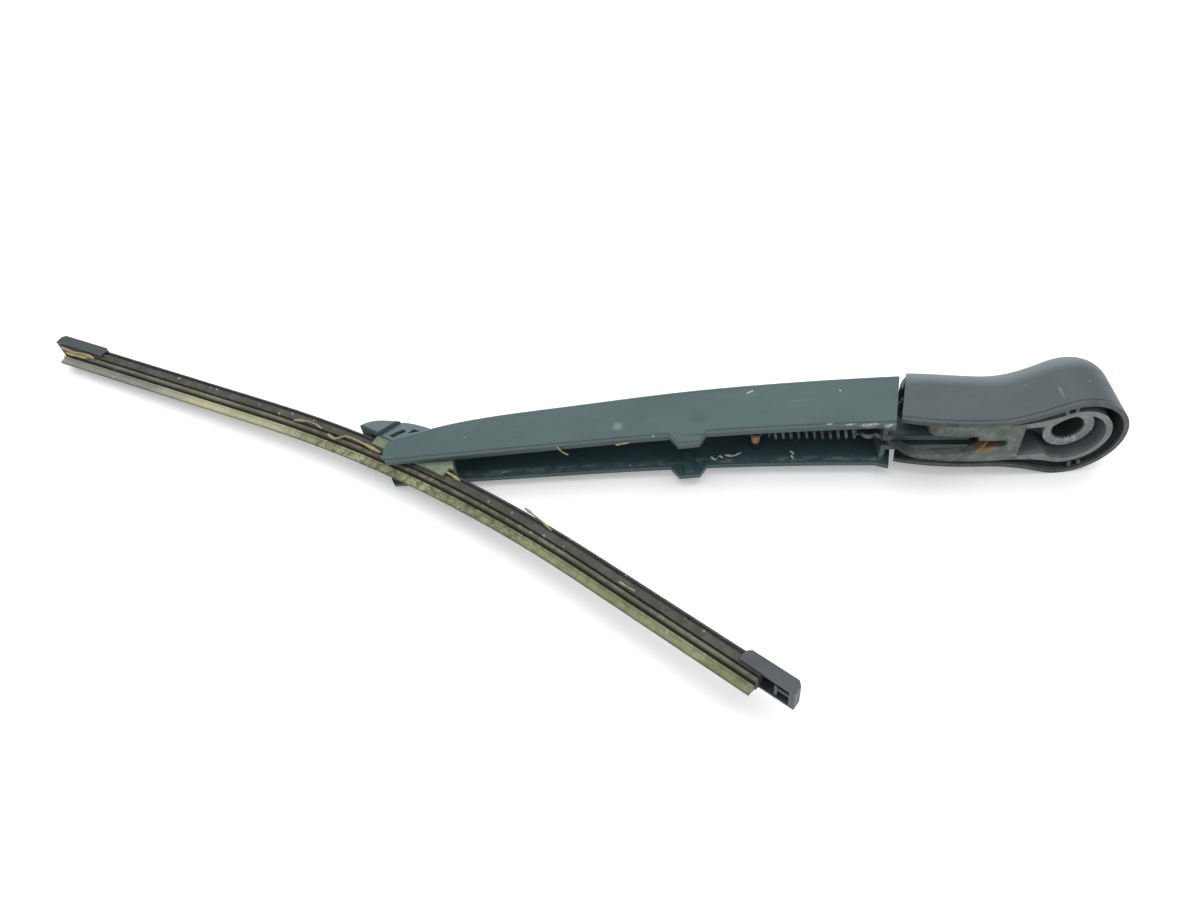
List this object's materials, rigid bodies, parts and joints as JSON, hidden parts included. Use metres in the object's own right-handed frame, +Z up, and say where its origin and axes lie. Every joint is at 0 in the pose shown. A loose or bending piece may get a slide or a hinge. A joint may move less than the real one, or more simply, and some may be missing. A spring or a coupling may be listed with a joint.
{
  "type": "rear wiper",
  "caption": "Rear window wiper: drop-shaped head with a splined tapered hub, spring-loaded hinged arm and a curved flat blade with a slipped rubber strip.",
  "frame": {"origin": "on the spindle axis, in the plane of the head cover's rim at the hub", "axes": "spindle axis along Y with the glass on the -Y side, arm reaching along -X, +Z up as the wiper lies on its side"},
  "size_m": [0.4222, 0.1974, 0.037],
  "materials": {
    "zinc_cast": "rough cast, dirty",
    "head_plastic": "weathered satin",
    "steel_pin": "dull",
    "arm_paint": "satin paint, chipped",
    "spring_steel": "dark, oily",
    "brass_rust": "tarnished",
    "connector_plastic": "dirty",
    "trim_plastic": "weathered satin",
    "blade_plastic": "weathered",
    "rail_steel": "dark",
    "wiper_rubber": "dusty"
  },
  "bodies": {
    "head": {"head_casting": "zinc_cast", "head_cover": "head_plastic", "hinge_pin": "steel_pin", "link_pin": "steel_pin"},
    "arm": {"arm_shell": "arm_paint", "spring_anchor_pin": "brass_rust", "blade_pivot_pin": "steel_pin"},
    "link": {"spring_link": "spring_steel", "tension_spring": "spring_steel"},
    "blade": {"connector_base": "connector_plastic", "connector_fairing": "trim_plastic", "blade_spine": "blade_plastic", "upper_rail": "rail_steel", "lower_rail": "rail_steel", "rubber_element": "wiper_rubber", "left_end_cap": "trim_plastic", "right_end_cap": "trim_plastic"}
  },
  "joints": [
    {"name": "arm_lift", "type": "hinge", "parent": "head", "child": "arm", "pos_m": [-0.0455, 0.0212, 0], "axis": [0, 0, -1], "range_deg": [0, 52], "stiffness_Nm_per_rad": 0.5, "springref_deg": -68.75},
    {"name": "link_turn", "type": "hinge", "parent": "head", "child": "link", "pos_m": [-0.028, 0.0082, 0], "axis": [0, 0, -1], "range_deg": [0, 39.12], "deforming": ["tension_spring"]},
    {"name": "blade_rock", "type": "hinge", "parent": "arm", "child": "blade", "pos_m": [-0.2376, 0.0222, 0], "axis": [0, 0, 1], "range_deg": [0, 34]}
  ],
  "couplings": [
    {"joint": "link_turn", "follows": "arm_lift", "ratio": 0.7523}
  ]
}
